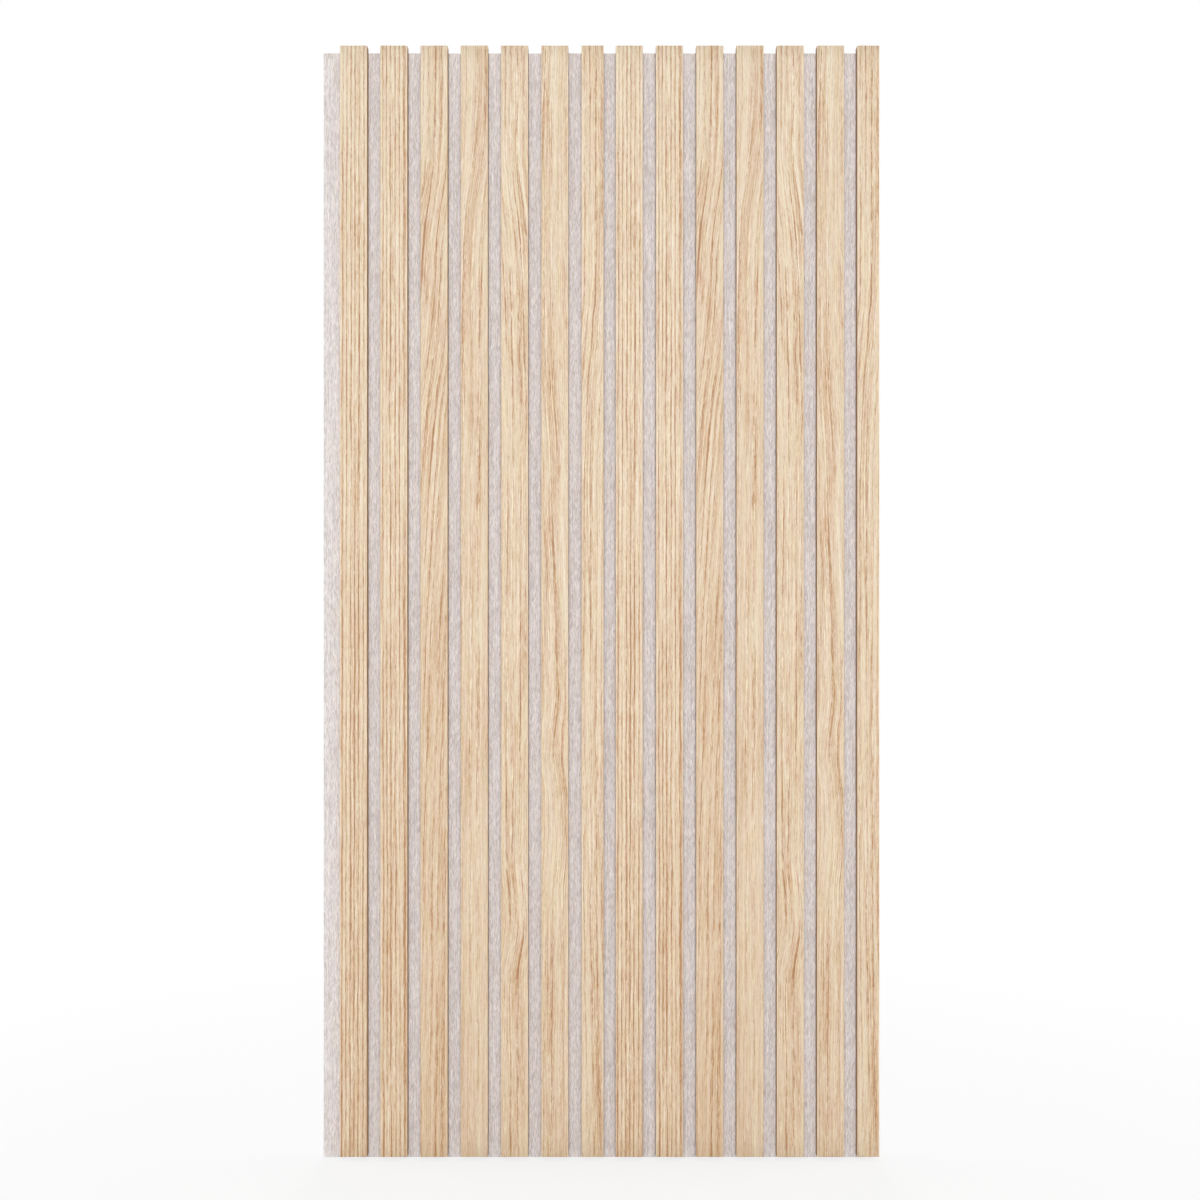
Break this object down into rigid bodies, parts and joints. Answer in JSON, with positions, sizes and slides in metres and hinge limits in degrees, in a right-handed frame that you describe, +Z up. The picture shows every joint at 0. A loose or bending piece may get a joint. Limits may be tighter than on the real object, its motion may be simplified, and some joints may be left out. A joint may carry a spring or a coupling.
{
  "type": "wood wall panel",
  "caption": "Flat wall panel of upright oak-faced slats with open grooves between them, on a stiff felt sheet with a bare ledge at one side for the next panel.",
  "frame": {"origin": "centre of the felt's back face, which lies on the wall", "axes": "+Z up along the slats, +X to the right of a person who faces the panel, +Y into the wall"},
  "size_m": [0.554, 0.021, 1.108],
  "materials": {
    "oak": "pale oak face, matt, grain along the slat",
    "felt": "pressed felt board, warm pale grey, fibrous"
  },
  "bodies": {
    "root": {"felt_backing": "felt", "slat_01": "oak", "slat_02": "oak", "slat_03": "oak", "slat_04": "oak", "slat_05": "oak", "slat_06": "oak", "slat_07": "oak", "slat_08": "oak", "slat_09": "oak", "slat_10": "oak", "slat_11": "oak", "slat_12": "oak", "slat_13": "oak", "slat_14": "oak"}
  },
  "joints": []
}
